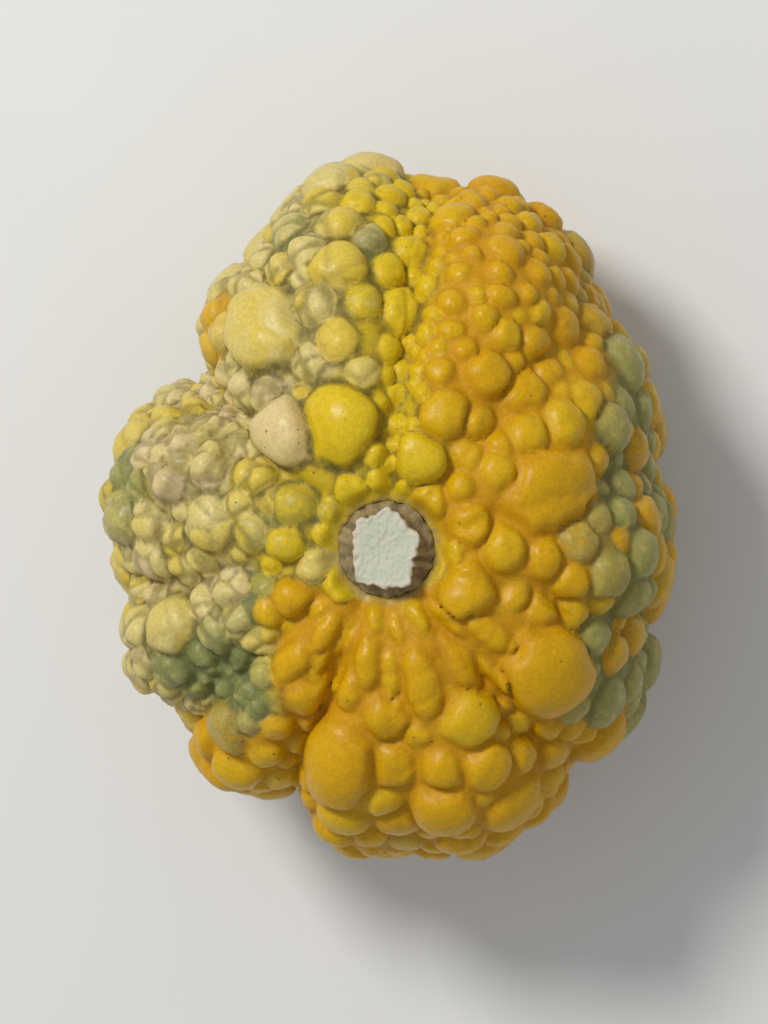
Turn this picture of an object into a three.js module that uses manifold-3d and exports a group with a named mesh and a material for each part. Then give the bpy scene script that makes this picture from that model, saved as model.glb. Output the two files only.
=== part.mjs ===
// An ornamental warty gourd, picked, standing on its blossom end with its cut stem up.
// Millimetres, +Z up. The origin is the middle of the gourd's outline, on the surface it rests on.
// The fruit is one solid: a ribbed, flattened body whose rind is raised into packed warts by a formula.
// The stem is a five-angled corky stub that stands in a plain socket in the fruit's crown.

import * as THREE from "three";
import { ConvexGeometry } from "three/addons/geometries/ConvexGeometry.js";
import { mergeVertices } from "three/addons/utils/BufferGeometryUtils.js";
import Module from "manifold-3d";

const wasm = await Module();
wasm.setup();

// ---------------------------------------------------------------- driving dimensions

const DEGREE = Math.PI / 180;

// The smooth body under the warts. Half widths run from the stem's axis along +X, +Y, -X and -Y.
const body = {
  east: 50,
  north: 73.5,
  west: 57.8,
  south: 63.5,
  halfHeight: 46.8,
  squareness: 2.25, // of the side view: 2 is an ellipse, and more is squarer
};

// Where the stem's axis stands from the middle of the outline.
const stemAxis = { x: 3.9, y: -5.3 };

// The furrows between the ribs: azimuth from +X in degrees, and depth.
const furrows = [
  { azimuth: 17, depth: 2.2 },
  { azimuth: 50, depth: 2.8 },
  { azimuth: 86, depth: 5.8 },
  { azimuth: 117, depth: 2.6 },
  { azimuth: 144, depth: 4 },
  { azimuth: 191, depth: 3.4 },
  { azimuth: 219, depth: 4.2 },
  { azimuth: 246, depth: 7 },
  { azimuth: 272, depth: 2.2 },
  { azimuth: 306, depth: 4.2 },
  { azimuth: 341, depth: 3.0 },
];
const furrowHalfWidth = 7.5; // degrees
const furrowStart = 24; // reach from the stem's axis at which a furrow is well under way

// Two ribs lean apart here, which leaves a notch in the outline.
const notch = { azimuth: 143.5, halfWidth: 11, depth: 9, from: 24, to: 48 };

const crownDip = { depth: 5.5, radius: 15 };

// The flat spot underneath, as a share of the body's widths, and where the relief round it is whole.
const restingSpot = { share: 0.29, reliefFrom: 0.33, reliefWhole: 0.72, sides: 28 };
const blossomDimple = { radius: 6, depth: 1.5, sides: 12 };

// Packed warts, largest first. Each size fills the room that the larger ones leave.
const wartSizes = [
  { tries: 60, least: 5.2, most: 6.4 },
  { tries: 240, least: 4.4, most: 5.2 },
  { tries: 3000, least: 3.5, most: 4.4 },
  { tries: 9000, least: 2.7, most: 3.5 },
];
const packing = 0.9; // least distance between two warts, as a share of their radii together
const wartSeed = 20917;

// Packed warts swell until they press on their nearest neighbour, or to this many times their radius.
const pressing = { overlap: 1.28, most: 1.4 };

// A wart's height is factor times radius to the power, and the floor is the height between warts.
const doming = { factor: 1.15, power: 0.8, roundness: 2.4, floor: 0.8 };
const fusing = 7; // how sharply neighbouring warts meet

// Creases between pressed warts: depth as a share of the wart's height, and width as a share of its radius.
const creasing = { depth: 0.5, width: 0.24, fadeFrom: 0.9, fadeTo: 1.15 };

// Warts are finer round the stem and in the deep furrows, and broader underneath.
const wartSizing = {
  stemLoss: 0.38,
  stemReach: 22,
  furrowLoss: 0.04, // for each millimetre of a furrow's depth
  mostLoss: 0.5,
  underGain: 0.55,
};

// The rib beside the deepest furrow of the far end is granular.
const granular = { azimuth: 74, halfWidth: 17, loss: 0.42 };

// Large single warts, beads and fingers, nearest the stem first.
const landmarks = [
  { azimuth: 120, reach: 13.5, radius: 3.0, stretch: 1 },
  { azimuth: 70, reach: 19, radius: 4.8, stretch: 1.1 },
  { azimuth: 153, reach: 19.5, radius: 3.4, stretch: 1 },
  { azimuth: 261, reach: 22, radius: 2.3, stretch: 2.4 },
  { azimuth: 67, reach: 28.5, radius: 4.6, stretch: 1.2 },
  { azimuth: 132, reach: 31.5, radius: 7.0, stretch: 1.3 },
  { azimuth: 112, reach: 26, radius: 8.2, stretch: 1.05 },
  { azimuth: 129, reach: 38.5, radius: 4.0, stretch: 1 },
  { azimuth: 230, reach: 29, radius: 2.4, stretch: 2.3 },
  { azimuth: 255, reach: 29.4, radius: 2.4, stretch: 1.8 },
  { azimuth: 151, reach: 30, radius: 3.6, stretch: 1 },
  { azimuth: 164, reach: 30, radius: 3.0, stretch: 1 },
  { azimuth: 194, reach: 32, radius: 3.9, stretch: 1.1 },
  { azimuth: 270, reach: 33, radius: 4.7, stretch: 1.1 },
  { azimuth: 241, reach: 33, radius: 4.4, stretch: 1.1 },
  { azimuth: 20, reach: 34, radius: 7.6, stretch: 1.2 },
  { azimuth: 172, reach: 35, radius: 5.3, stretch: 1 },
  { azimuth: 147, reach: 37, radius: 4.0, stretch: 1 },
  { azimuth: 322, reach: 39, radius: 8.0, stretch: 1.15 },
  { azimuth: 113, reach: 40, radius: 3.8, stretch: 1 },
  { azimuth: 104, reach: 42, radius: 3.7, stretch: 1.2 },
  { azimuth: 187, reach: 42, radius: 3.2, stretch: 1 },
  { azimuth: 237, reach: 42.3, radius: 3.2, stretch: 1 },
  { azimuth: 271, reach: 42.5, radius: 3.8, stretch: 1.15 },
  { azimuth: 256, reach: 44, radius: 6.8, stretch: 1.4 },
  { azimuth: 200, reach: 45, radius: 5.2, stretch: 1 },
  { azimuth: 174, reach: 46.5, radius: 3.8, stretch: 1 },
  { azimuth: 184, reach: 48, radius: 4.7, stretch: 1 },
  { azimuth: 88, reach: 48.5, radius: 4.2, stretch: 1.1 },
  { azimuth: 120, reach: 50.5, radius: 7.4, stretch: 1.25 },
  { azimuth: 206, reach: 51.5, radius: 3.2, stretch: 1 },
  { azimuth: 207, reach: 56.5, radius: 4.8, stretch: 1 },
  { azimuth: 87, reach: 61, radius: 3.5, stretch: 1 },
  { azimuth: 109, reach: 64.8, radius: 3.3, stretch: 1 },
  { azimuth: 116, reach: 64, radius: 3.2, stretch: 1 },
  { azimuth: 80, reach: 66.5, radius: 3.4, stretch: 1 },
];

// Swellings lift the warts that sit on them. A knot is a swelling that carries fine warts, and a
// negative height makes a hollow.
const swellings = [
  { azimuth: 156, reach: 45, radius: 14, height: 6, loss: 0.4 },
  { azimuth: 106, reach: 57, radius: 15, height: 1.6, loss: 0 },
  { azimuth: 205, reach: 51, radius: 16, height: 4.0, loss: 0.08 },
  { azimuth: 172, reach: 52, radius: 14, height: 2.6, loss: 0 },
  { azimuth: 68, reach: 57, radius: 17, height: 2.8, loss: 0 },
  { azimuth: 267, reach: 47, radius: 14, height: 1.8, loss: 0 },
  { azimuth: 288, reach: 50, radius: 15, height: 2.6, loss: 0 },
  { azimuth: 356, reach: 43, radius: 17, height: 3.0, loss: 0 },
  { azimuth: 124, reach: 67.2, radius: 23, height: -5.4, loss: 0 },
  { azimuth: 248, reach: 62.4, radius: 20, height: -3.6, loss: 0 },
  { azimuth: 219, reach: 43, radius: 14, height: 0.8, loss: 0.45 },
];

// Warts lean over with the slopes of the ribs that carry them, measured over a span to either side.
const leaning = { span: 4, share: 0.85 };

// On one side of the stem the warts draw out along the ribs into short fingers.
const fingers = { from: 228, to: 330, inner: 11, outer: 34, stretch: 2.6, loss: 0.25 };

// The bare collar of rind round the stem, measured out from the stem's foot.
const collar = { bare: 0.5, warty: 3.5 };

// The stem's outline holds radii, and heights over the bottom of the crown's dip.
const stem = {
  outline: [
    { radius: 9.2, height: 0.6 },
    { radius: 8.0, height: 2.2 },
    { radius: 6.8, height: 4.0 },
    { radius: 6.6, height: 6.0 },
    { radius: 6.3, height: 6.5 },
  ],
  sunk: 4.5,
  corners: [18, 81, 137, 223, 311], // azimuths
  cornerDepth: 0.2, // how far a corner stands out at the cut, as a share of the radius
  cornerHalfWidth: 17,
  lengthening: 0.06, // of the cut along Y
  cutSlope: 0.07,
  pith: { radius: 3.2, depth: 0.8 },
  clearance: 0.3,
  sides: 40,
};
const stemFoot = stem.outline[0];
const stemCut = stem.outline.at(-1);

// ---------------------------------------------------------------- the smooth body

// How high the side view stands at a share of its half width, as a share of its half height.
function sideRise(share) {
  const k = body.squareness;
  return (1 - share ** k) ** (1 / k);
}

// The body stands so deep that its underside is flat out to the resting spot's edge.
const middleHeight = body.halfHeight * sideRise(restingSpot.share);

const halfWidth = (x) => (x > 0 ? body.east : body.west);
const halfLength = (y) => (y > 0 ? body.north : body.south);

// The body is a rounded form that scales a unit direction out to its surface.
function bodyPoint(direction) {
  const k = body.squareness;
  const level = Math.hypot(direction.x, direction.y);
  const size = (level ** k + Math.abs(direction.z) ** k) ** (-1 / k);
  return new THREE.Vector3(
    direction.x * size * halfWidth(direction.x),
    direction.y * size * halfLength(direction.y),
    direction.z * size * body.halfHeight + middleHeight,
  );
}

// The direction that a point on or near the body belongs to.
function directionOf(point) {
  const up = (point.z - middleHeight) / body.halfHeight;
  return new THREE.Vector3(
    point.x / halfWidth(point.x),
    point.y / halfLength(point.y),
    up,
  ).normalize();
}

// The way the rind stands out: square to the body.
function outward(point) {
  const k = body.squareness;
  const x = point.x / halfWidth(point.x);
  const y = point.y / halfLength(point.y);
  const up = (point.z - middleHeight) / body.halfHeight;
  const level = Math.hypot(x, y) ** (k - 2);
  return new THREE.Vector3(
    (level * x) / halfWidth(point.x),
    (level * y) / halfLength(point.y),
    (Math.sign(up) * Math.abs(up) ** (k - 1)) / body.halfHeight,
  ).normalize();
}

// The direction of the upper surface at an azimuth and a reach from the stem's axis.
function crownDirection(azimuth, reach) {
  const x = reach * Math.cos(azimuth * DEGREE);
  const y = reach * Math.sin(azimuth * DEGREE);
  const up = sideRise(shareOfWidth({ x, y }));
  return new THREE.Vector3(x / halfWidth(x), y / halfLength(y), up).normalize();
}

const reachOf = (point) => Math.hypot(point.x, point.y);
const shareOfWidth = (point) => Math.hypot(point.x / halfWidth(point.x), point.y / halfLength(point.y));
const isUpper = (point) => point.z > middleHeight;

// Underneath, furrows and warts fade out towards the flat spot.
function underShare(point) {
  const { reliefFrom, reliefWhole } = restingSpot;
  return THREE.MathUtils.smoothstep(shareOfWidth(point), reliefFrom, reliefWhole);
}

// A bell, 1 at an azimuth and falling off over a half width to either side, both in degrees.
function bell(point, azimuth, halfWidth) {
  const turn = Math.atan2(point.y, point.x) - azimuth * DEGREE;
  const away = Math.atan2(Math.sin(turn), Math.cos(turn)) / (halfWidth * DEGREE);
  return Math.exp(-away * away);
}

function furrowDepth(point) {
  let depth = 0;
  for (const furrow of furrows) depth += furrow.depth * bell(point, furrow.azimuth, furrowHalfWidth);
  const { azimuth, halfWidth, from, to } = notch;
  const inNotch = notch.depth * bell(point, azimuth, halfWidth);
  if (!isUpper(point)) return (depth + inNotch) * underShare(point);
  const reach = reachOf(point);
  const begun = 1 - Math.exp(-((reach / furrowStart) ** 2));
  return depth * begun + inNotch * THREE.MathUtils.smoothstep(reach, from, to);
}

// How far up on a swelling a point lies: 1 at its middle, and 0 at its foot.
function shareUp(swelling, point) {
  const spot = bodyPoint(crownDirection(swelling.azimuth, swelling.reach));
  const away = Math.min(1, spot.distanceTo(point) / swelling.radius);
  return (1 - away * away) ** 1.5;
}

function swellHeight(point) {
  return swellings.reduce((sum, swelling) => sum + swelling.height * shareUp(swelling, point), 0);
}

const ribHeight = (point) => swellHeight(point) - furrowDepth(point);

// The ribbed surface that carries the warts.
function ribPoint(onBody) {
  return onBody.clone().addScaledVector(outward(onBody), ribHeight(onBody));
}

// The way a wart stands out: the body's way, leant over by the slope of the ribs.
function wartWay(onBody) {
  const way = outward(onBody);
  const slope = new THREE.Vector3();
  for (const axis of ["x", "y", "z"]) {
    const ahead = onBody.clone();
    const behind = onBody.clone();
    ahead[axis] += leaning.span;
    behind[axis] -= leaning.span;
    slope[axis] = (ribHeight(ahead) - ribHeight(behind)) / (2 * leaning.span);
  }
  slope.addScaledVector(way, -slope.dot(way));
  return way.addScaledVector(slope, -leaning.share).normalize();
}

// ---------------------------------------------------------------- warts

// Lehmer's random numbers, from 0 to 1, the same on every machine.
function randomNumbers(seed) {
  let state = seed;
  return () => {
    state = (state * 16807) % 2147483647;
    return state / 2147483647;
  };
}

function coarseness(spot) {
  const { stemLoss, stemReach, furrowLoss, mostLoss, underGain } = wartSizing;
  if (!isUpper(spot)) return 1 + underGain * (1 - spot.z / middleHeight);
  let loss = stemLoss * Math.exp(-((reachOf(spot) / stemReach) ** 2));
  loss += furrowLoss * furrowDepth(spot);
  loss += granular.loss * bell(spot, granular.azimuth, granular.halfWidth);
  for (const swelling of swellings) loss += swelling.loss * shareUp(swelling, spot);
  if (stretchAt(spot) > 1) loss += fingers.loss;
  return 1 - Math.min(mostLoss, loss);
}

function anyDirection(random) {
  const up = 2 * random() - 1;
  const azimuth = 2 * Math.PI * random();
  const level = Math.sqrt(1 - up * up);
  return new THREE.Vector3(level * Math.cos(azimuth), level * Math.sin(azimuth), up);
}

function stretchAt(spot) {
  const azimuth = (Math.atan2(spot.y, spot.x) / DEGREE + 360) % 360;
  const reach = reachOf(spot);
  const onSide = azimuth > fingers.from && azimuth < fingers.to;
  const inReach = reach > fingers.inner && reach < fingers.outer && isUpper(spot);
  return onSide && inReach ? fingers.stretch : 1;
}

function makeWart(direction, radius, stretch) {
  const onBody = bodyPoint(direction);
  const spot = ribPoint(onBody);
  const across = new THREE.Vector3(-onBody.y, onBody.x, 0).normalize();
  const along = new THREE.Vector3().crossVectors(across, outward(onBody)).normalize();
  const height = doming.factor * radius ** doming.power;
  return { direction, onBody, spot, across, along, radius, stretch, height };
}

// How far out on a wart a point lies: 0 at its middle, and 1 at its foot.
function shareOut(wart, point) {
  const gap = new THREE.Vector3().subVectors(point, wart.spot);
  const along = gap.dot(wart.along);
  const rest = gap.lengthSq() - along * along;
  return Math.sqrt((along / wart.stretch) ** 2 + rest) / wart.radius;
}

function placeWarts() {
  const random = randomNumbers(wartSeed);
  const warts = landmarks.map(({ azimuth, reach, radius, stretch }) =>
    makeWart(crownDirection(azimuth, reach), radius, stretch),
  );
  for (const size of wartSizes) {
    for (let attempt = 0; attempt < size.tries; attempt += 1) {
      const direction = anyDirection(random);
      const onBody = bodyPoint(direction);
      const spot = ribPoint(onBody);
      const plain = size.least + (size.most - size.least) * random();
      const radius = plain * coarseness(onBody);
      const clear = (wart) => shareOut(wart, spot) * wart.radius > packing * (wart.radius + radius);
      if (warts.every(clear)) warts.push(makeWart(direction, radius, stretchAt(onBody)));
    }
  }
  return warts;
}

function pressWarts(placed) {
  return placed.map((wart) => {
    let room = pressing.most;
    for (const other of placed) {
      if (other === wart) continue;
      const gap = shareOut(wart, other.spot) * wart.radius;
      room = Math.min(room, (pressing.overlap * gap) / (wart.radius + other.radius));
    }
    return makeWart(wart.direction, wart.radius * Math.max(1, room), wart.stretch);
  });
}

const warts = pressWarts(placeWarts());

// Warts are domes, joined where they meet, with a crease drawn in between the nearest two.
function wartRise(point) {
  let sum = doming.floor ** fusing;
  let height = 0;
  let nearest = Infinity;
  let next = Infinity;
  for (const wart of warts) {
    const away = shareOut(wart, point);
    if (away < 1) sum += (wart.height * Math.sqrt(1 - away ** doming.roundness)) ** fusing;
    next = Math.min(next, Math.max(away, nearest));
    if (away < nearest) {
      nearest = away;
      height = wart.height;
    }
  }
  const { depth, width, fadeFrom, fadeTo } = creasing;
  const crease = depth * height * Math.exp(-(((next - nearest) / width) ** 2));
  return sum ** (1 / fusing) - crease * (1 - THREE.MathUtils.smoothstep(nearest, fadeFrom, fadeTo));
}

// The rind is bare beside the stem, and worn smooth where the fruit rests.
function wartShare(point) {
  if (!isUpper(point)) return underShare(point);
  const beyond = reachOf(point) - stemFoot.radius;
  return THREE.MathUtils.smoothstep(beyond, collar.bare, collar.warty);
}

function rindPoint(direction) {
  const point = bodyPoint(direction);
  const reach = reachOf(point);
  const rib = ribPoint(point);
  const rind = rib.clone().addScaledVector(wartWay(point), wartRise(rib) * wartShare(point));
  if (isUpper(point)) {
    rind.z -= crownDip.depth * Math.exp(-((reach / crownDip.radius) ** 2));
  } else {
    const inDimple = Math.max(0, 1 - (reach / blossomDimple.radius) ** 2);
    rind.z = Math.max(0, rind.z) + blossomDimple.depth * inDimple;
  }
  return rind;
}

// ---------------------------------------------------------------- the mesh's points

// Each wart has a point on its top and a ring or two on its dome, out at a share of its radius.
const domeRings = [
  { from: 5.2, rings: [{ share: 0.4, points: 6 }, { share: 0.76, points: 10 }] },
  { from: 3.4, rings: [{ share: 0.6, points: 6 }] },
  { from: 2.5, rings: [{ share: 0.6, points: 5 }] },
  { from: 0, rings: [{ share: 0.6, points: 4 }] },
];

// Least gaps between one point and the rest, in millimetres.
const gaps = { apex: 0.5, dome: 1, crease: 1.5, pit: 2.7, plain: 0.1 };

// A crease lies between warts whose feet are no further apart than this, and off any third wart.
const creaseReach = 1.35;
const creaseClear = 0.85;

// Pits fill what the warts and creases leave.
const pits = { tries: 9000, seed: 4051 };

function ringsOf(wart) {
  return domeRings.find(({ from }) => wart.radius > from).rings;
}

function ringDirections(wart, ring) {
  const directions = [];
  for (let i = 0; i < ring.points; i += 1) {
    const angle = (i / ring.points) * 2 * Math.PI;
    const spread = ring.share * wart.radius;
    const point = wart.onBody
      .clone()
      .addScaledVector(wart.along, Math.cos(angle) * spread * wart.stretch)
      .addScaledVector(wart.across, Math.sin(angle) * spread);
    directions.push(directionOf(point));
  }
  return directions;
}

// Where the crease between two neighbouring warts lies, or nothing if they stand apart.
function creaseDirection(one, other) {
  const fromOne = shareOut(one, other.spot);
  const fromOther = shareOut(other, one.spot);
  const apart = 1 / (1 / fromOne + 1 / fromOther);
  if (apart > creaseReach) return null;
  const point = one.onBody.clone().lerp(other.onBody, fromOther / (fromOne + fromOther));
  const direction = directionOf(point);
  const spot = ribPoint(bodyPoint(direction));
  const third = (wart) => wart !== one && wart !== other;
  const covered = warts.some((wart) => third(wart) && shareOut(wart, spot) < creaseClear);
  return covered ? null : direction;
}

// A round ring of points underneath, at a reach from the stem's axis.
function dimpleRing(reach, sides) {
  const directions = [];
  for (let i = 0; i < sides; i += 1) {
    const direction = crownDirection((360 * i) / sides, reach);
    directions.push(direction.setZ(-direction.z));
  }
  return directions;
}

// The edge of the flat spot, in the outline of the body.
function restingRing() {
  const directions = [];
  for (let i = 0; i < restingSpot.sides; i += 1) {
    const angle = (i / restingSpot.sides) * 2 * Math.PI;
    const x = restingSpot.share * Math.cos(angle);
    const y = restingSpot.share * Math.sin(angle);
    directions.push(new THREE.Vector3(x, y, -sideRise(restingSpot.share)).normalize());
  }
  return directions;
}

function isBare(direction) {
  const point = bodyPoint(direction);
  if (isUpper(point)) return reachOf(point) < stemFoot.radius + collar.bare;
  return shareOfWidth(point) < restingSpot.reliefFrom;
}

function meshDirections() {
  const kept = [];
  const keep = (direction, gap) => {
    const spot = ribPoint(bodyPoint(direction));
    if (kept.every((other) => other.spot.distanceTo(spot) > gap)) kept.push({ direction, spot });
  };
  const keepOnRind = (direction, gap) => {
    if (!isBare(direction)) keep(direction, gap);
  };

  const { radius, sides } = blossomDimple;
  const plain = [
    new THREE.Vector3(0, 0, 1),
    new THREE.Vector3(0, 0, -1),
    ...dimpleRing(radius / 2, sides / 2),
    ...dimpleRing(radius, sides),
    ...restingRing(),
  ];
  for (const direction of plain) keep(direction, gaps.plain);

  for (const wart of warts) keepOnRind(wart.direction, gaps.apex);
  for (const wart of warts) {
    const dome = ringsOf(wart).flatMap((ring) => ringDirections(wart, ring));
    for (const direction of dome) keepOnRind(direction, gaps.dome);
  }
  warts.forEach((one, index) => {
    for (const other of warts.slice(index + 1)) {
      const direction = creaseDirection(one, other);
      if (direction) keepOnRind(direction, gaps.crease);
    }
  });
  const random = randomNumbers(pits.seed);
  for (let attempt = 0; attempt < pits.tries; attempt += 1) keepOnRind(anyDirection(random), gaps.pit);
  return kept.map(({ direction }) => direction);
}

// ---------------------------------------------------------------- solids

function solidOf(geometry) {
  const bare = geometry.clone();
  bare.deleteAttribute("normal");
  bare.deleteAttribute("uv");
  const merged = mergeVertices(bare, 1e-4);
  const vertProperties = merged.attributes.position.array;
  const triVerts = new Uint32Array(merged.index.array);
  return new wasm.Manifold(new wasm.Mesh({ numProp: 3, vertProperties, triVerts }));
}

function geometryOf(solid) {
  const mesh = solid.getMesh();
  const geometry = new THREE.BufferGeometry();
  geometry.setAttribute("position", new THREE.BufferAttribute(mesh.vertProperties, 3));
  geometry.setIndex(new THREE.BufferAttribute(mesh.triVerts, 1));
  geometry.computeVertexNormals();
  return geometry;
}

const dipBottom = middleHeight + body.halfHeight - crownDip.depth;

// The socket that the stem's foot stands in.
function makeSocket() {
  const radius = stemFoot.radius + stem.clearance;
  const depth = stem.sunk + stem.clearance;
  const above = crownDip.depth;
  const socket = new THREE.CylinderGeometry(radius, radius, depth + above, stem.sides);
  socket.rotateX(Math.PI / 2);
  socket.translate(0, 0, dipBottom + (above - depth) / 2);
  return solidOf(socket);
}

function makeFruit() {
  const rind = new ConvexGeometry(meshDirections());
  const position = rind.attributes.position;
  for (let i = 0; i < position.count; i += 1) {
    const direction = new THREE.Vector3().fromBufferAttribute(position, i).normalize();
    const point = rindPoint(direction);
    position.setXYZ(i, point.x, point.y, point.z);
  }
  return geometryOf(solidOf(rind).subtract(makeSocket()));
}

function makeStem() {
  const points = [
    new THREE.Vector2(0, -stem.sunk),
    new THREE.Vector2(stemFoot.radius, -stem.sunk),
    ...stem.outline.map(({ radius, height }) => new THREE.Vector2(radius, height)),
    new THREE.Vector2(stem.pith.radius, stemCut.height),
    new THREE.Vector2(0, stemCut.height - stem.pith.depth),
  ];
  const shape = new THREE.LatheGeometry(points, stem.sides);
  shape.rotateX(Math.PI / 2);
  const position = shape.attributes.position;
  for (let i = 0; i < position.count; i += 1) {
    const x = position.getX(i);
    const y = position.getY(i);
    const z = position.getZ(i);
    const share = THREE.MathUtils.smoothstep(z, stemFoot.height, stemCut.height);
    const corner = stem.corners.reduce(
      (sum, azimuth) => sum + bell({ x, y }, azimuth, stem.cornerHalfWidth),
      0,
    );
    const size = 1 + stem.cornerDepth * share * corner;
    const length = size * (1 + stem.lengthening * share);
    position.setXYZ(i, x * size, y * length, z + stem.cutSlope * share * x);
  }
  shape.translate(0, 0, dipBottom);
  return geometryOf(solidOf(shape));
}

// ---------------------------------------------------------------- the gourd

const gourd = new THREE.Group();

function addPiece(name, geometry, color, roughness) {
  const material = new THREE.MeshStandardMaterial({ color, roughness, metalness: 0 });
  const piece = new THREE.Mesh(geometry, material);
  piece.name = name;
  piece.position.set(stemAxis.x, stemAxis.y, 0);
  gourd.add(piece);
}

addPiece("gourd_fruit", makeFruit(), 0xcda032, 0.42);
addPiece("stem_stub", makeStem(), 0xb3ab8c, 0.85);

export default gourd;
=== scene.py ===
"""An ornamental warty gourd: a ribbed, densely warty rind and a dry, corky, cut stem.

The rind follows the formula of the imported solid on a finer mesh, with uneven wart outlines and small
pimples in the gaps between the warts. Lengths are millimetres from the stem's axis unless a name says
otherwise, and each mesh is scaled to metres when it is finished.
"""

import math

import bmesh
import bpy
import numpy as np
from bpy.props import FloatProperty, FloatVectorProperty, IntProperty, PointerProperty
from mathutils import Matrix, Vector, noise


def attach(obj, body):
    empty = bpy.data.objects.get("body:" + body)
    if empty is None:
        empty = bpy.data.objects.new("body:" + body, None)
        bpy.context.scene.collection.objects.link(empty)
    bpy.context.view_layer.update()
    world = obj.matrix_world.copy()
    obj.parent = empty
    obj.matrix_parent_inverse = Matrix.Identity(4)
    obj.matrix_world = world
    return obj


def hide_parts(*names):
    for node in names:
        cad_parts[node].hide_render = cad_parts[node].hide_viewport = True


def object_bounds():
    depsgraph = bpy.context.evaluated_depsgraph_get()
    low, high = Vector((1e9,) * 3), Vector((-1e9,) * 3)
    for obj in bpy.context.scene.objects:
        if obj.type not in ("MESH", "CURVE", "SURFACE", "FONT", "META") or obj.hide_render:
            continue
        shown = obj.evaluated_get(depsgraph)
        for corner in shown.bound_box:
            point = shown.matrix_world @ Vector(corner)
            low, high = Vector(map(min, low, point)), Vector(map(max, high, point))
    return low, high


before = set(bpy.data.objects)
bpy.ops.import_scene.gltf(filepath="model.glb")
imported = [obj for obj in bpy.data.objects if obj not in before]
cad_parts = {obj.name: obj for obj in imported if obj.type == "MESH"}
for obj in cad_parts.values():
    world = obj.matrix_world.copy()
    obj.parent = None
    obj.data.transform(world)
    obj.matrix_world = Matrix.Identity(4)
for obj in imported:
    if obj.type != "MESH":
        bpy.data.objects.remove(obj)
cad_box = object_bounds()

bl_info = {
    "name": "Ornamental warty gourd",
    "version": (1, 0, 0),
    "blender": (4, 5, 0),
    "location": "3D View > Sidebar > Gourd",
    "description": "Builds a warty ornamental gourd with its cut stem, and a plain stage for it",
    "category": "Object",
}

MM = 0.001

# ---------------------------------------------------------------- the gourd's form

# The smooth body under the warts. Half widths run from the stem's axis along +X, +Y, -X and -Y.
EAST, NORTH, WEST, SOUTH = 50.0, 73.5, 57.8, 63.5
HALF_HEIGHT = 46.8
SQUARENESS = 2.25
STEM_AXIS = (3.9, -5.3, 0.0)

# The furrows between the ribs: azimuth from +X in degrees, and depth.
FURROWS = (
    (17, 2.2), (50, 2.8), (86, 5.8), (117, 2.6), (144, 4), (191, 3.4),
    (219, 4.2), (246, 7), (272, 2.2), (306, 4.2), (341, 3.0),
)
FURROW_HALF_WIDTH = 7.5
FURROW_START = 24

# Two ribs lean apart here, which leaves a notch in the outline.
NOTCH = {"azimuth": 143.5, "half_width": 11, "depth": 9, "from": 24, "to": 48}

CROWN_DIP = {"depth": 5.5, "radius": 15}
RESTING_SPOT = {"share": 0.29, "relief_from": 0.33, "relief_whole": 0.72}
BLOSSOM_DIMPLE = {"radius": 6, "depth": 1.5}

# Packed warts, largest first: tries, and least and most radius.
WART_SIZES = ((60, 5.2, 6.4), (240, 4.4, 5.2), (3000, 3.5, 4.4), (9000, 2.7, 3.5))
WART_SEED = 20917
PACKING = 0.9
PRESSING = {"overlap": 1.28, "most": 1.4}
DOMING = {"factor": 1.15, "power": 0.8, "roundness": 2.4, "floor": 0.8}
FUSING = 7
CREASING = {"depth": 0.5, "width": 0.24, "fade_from": 0.9, "fade_to": 1.15}
ROOM_FOR_WARTS = 6000

# How far from its middle a wart is looked for, and how far away none is, both in its radii.
WART_SEARCH, NO_WART = 1.5, 9.0

WART_SIZING = {
    "stem_loss": 0.38, "stem_reach": 22, "furrow_loss": 0.04, "most_loss": 0.5, "under_gain": 0.55,
}
GRANULAR = {"azimuth": 74, "half_width": 17, "loss": 0.42}

# Large single warts, beads and fingers: azimuth, reach, radius, stretch, and how far the colour of a
# pale one leans from yellow, 0, to pink, 1.
LANDMARKS = (
    (120, 13.5, 3.0, 1, 0.5), (70, 19, 4.8, 1.1, 0.5), (153, 19.5, 3.4, 1, 0.5),
    (261, 22, 2.3, 2.4, 0.5), (67, 28.5, 4.6, 1.2, 0.5), (132, 31.5, 7.0, 1.3, 0.95),
    (112, 26, 8.2, 1.05, 0.3), (129, 38.5, 4.0, 1, 0.8), (230, 29, 2.4, 2.3, 0.5),
    (255, 29.4, 2.4, 1.8, 0.5), (151, 30, 3.6, 1, 0.05), (164, 30, 3.0, 1, 0.15),
    (194, 32, 3.9, 1.1, 0.85), (270, 33, 4.7, 1.1, 0.5), (241, 33, 4.4, 1.1, 0.5),
    (20, 34, 7.6, 1.2, 0.5), (172, 35, 5.3, 1, 0.4), (147, 37, 4.0, 1, 0.6),
    (322, 39, 8.0, 1.15, 0.5), (113, 40, 3.8, 1, 0.4), (104, 42, 3.7, 1.2, 0.95),
    (187, 42, 3.2, 1, 0.5), (237, 42.3, 3.2, 1, 0.5), (271, 42.5, 3.8, 1.15, 0.5),
    (256, 44, 6.8, 1.4, 0.5), (200, 45, 5.2, 1, 0.35), (174, 46.5, 3.8, 1, 0.6),
    (184, 48, 4.7, 1, 0.8), (88, 48.5, 4.2, 1.1, 0.5), (120, 50.5, 7.4, 1.25, 0.3),
    (206, 51.5, 3.2, 1, 0.85), (207, 56.5, 4.8, 1, 0.45), (87, 61, 3.5, 1, 0.5),
    (109, 64.8, 3.3, 1, 0.5), (116, 64, 3.2, 1, 0.6), (80, 66.5, 3.4, 1, 0.5),
)

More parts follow.
